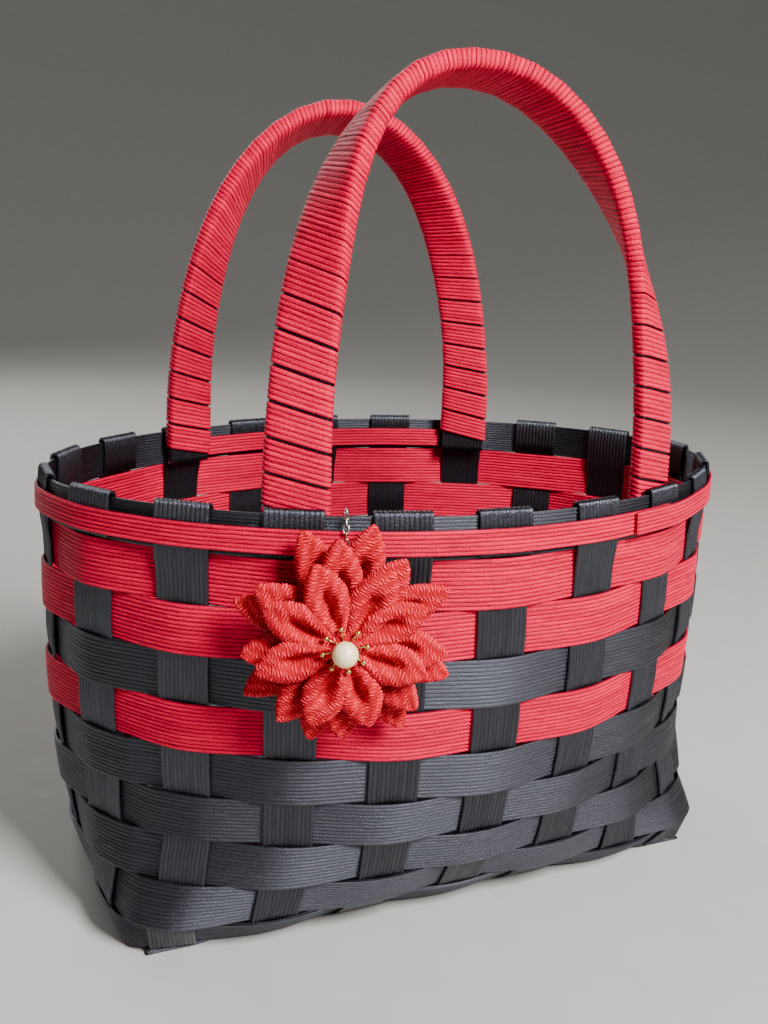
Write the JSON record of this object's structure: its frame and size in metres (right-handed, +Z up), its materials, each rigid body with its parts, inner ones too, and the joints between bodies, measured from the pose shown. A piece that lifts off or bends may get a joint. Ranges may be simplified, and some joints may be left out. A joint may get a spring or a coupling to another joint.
{
  "type": "woven basket bag",
  "caption": "Oval basket bag plaited from flat bands, with a folded rim, arched handles bound with narrow band, and a cloth flower that swings on a fine chain.",
  "frame": {"origin": "middle of the underside, where the base rests", "axes": "+X along the bag to the viewer's right when the flower faces them, +Y from the flower's side to the back, +Z up to the handles"},
  "size_m": [0.26, 0.1981, 0.2875],
  "materials": {
    "black_band": "black paper cord glued side by side into flat band, faint sheen",
    "red_band": "red paper cord glued side by side into flat band, faint sheen",
    "red_crepe": "red crinkled crepe cloth",
    "silver_chain": "bright plated wire",
    "pale_gold": "pale gold wire and beads",
    "pearl_bead": "cream pearl coating"
  },
  "bodies": {
    "bag": {"cross_stake_1": "black_band", "cross_stake_2": "black_band", "cross_stake_3": "black_band", "cross_stake_4": "black_band", "cross_stake_5": "black_band", "cross_stake_6": "black_band", "cross_stake_7": "black_band", "side_stake_1": "black_band", "side_stake_2": "black_band", "side_stake_3": "black_band", "base_filler_1": "black_band", "base_filler_2": "black_band", "base_filler_3": "black_band", "base_filler_4": "black_band", "weaver_row_1": "red_band", "weaver_row_2": "red_band", "weaver_row_3": "black_band", "weaver_row_4": "red_band", "weaver_row_5": "black_band", "weaver_row_6": "black_band", "weaver_row_7": "black_band", "weaver_row_8": "black_band", "weaver_row_9": "black_band", "rim_ring": "black_band", "rim_band": "red_band", "front_handle_core": "black_band", "front_handle_wrap": "red_band", "front_inner_band": "red_band", "back_handle_core": "black_band", "back_handle_wrap": "red_band", "back_inner_band": "red_band", "chain_link_1": "silver_chain", "chain_link_2": "silver_chain", "chain_link_3": "silver_chain", "chain_link_4": "silver_chain"},
    "charm_chain": {"chain_link_5": "silver_chain", "chain_link_6": "silver_chain", "chain_link_7": "silver_chain", "chain_link_8": "silver_chain", "chain_link_9": "silver_chain", "chain_link_10": "silver_chain", "chain_link_11": "silver_chain", "chain_link_12": "silver_chain", "chain_link_13": "silver_chain", "chain_link_14": "silver_chain"},
    "flower": {"jump_ring": "silver_chain", "flower_backing": "red_crepe", "outer_petals": "red_crepe", "middle_petals": "red_crepe", "inner_petals": "red_crepe", "stamens": "pale_gold", "pearl": "pearl_bead"}
  },
  "joints": [
    {"name": "chain_lift", "type": "hinge", "parent": "bag", "child": "charm_chain", "pos_m": [-0.05149, -0.07985, 0.15207], "axis": [-0.9436, 0.331, 0], "range_deg": [0, 100]},
    {"name": "flower_swing", "type": "hinge", "parent": "charm_chain", "child": "flower", "pos_m": [-0.05281, -0.08363, 0.1328], "axis": [-0.331, -0.9436, 0], "range_deg": [-25, 25]}
  ]
}
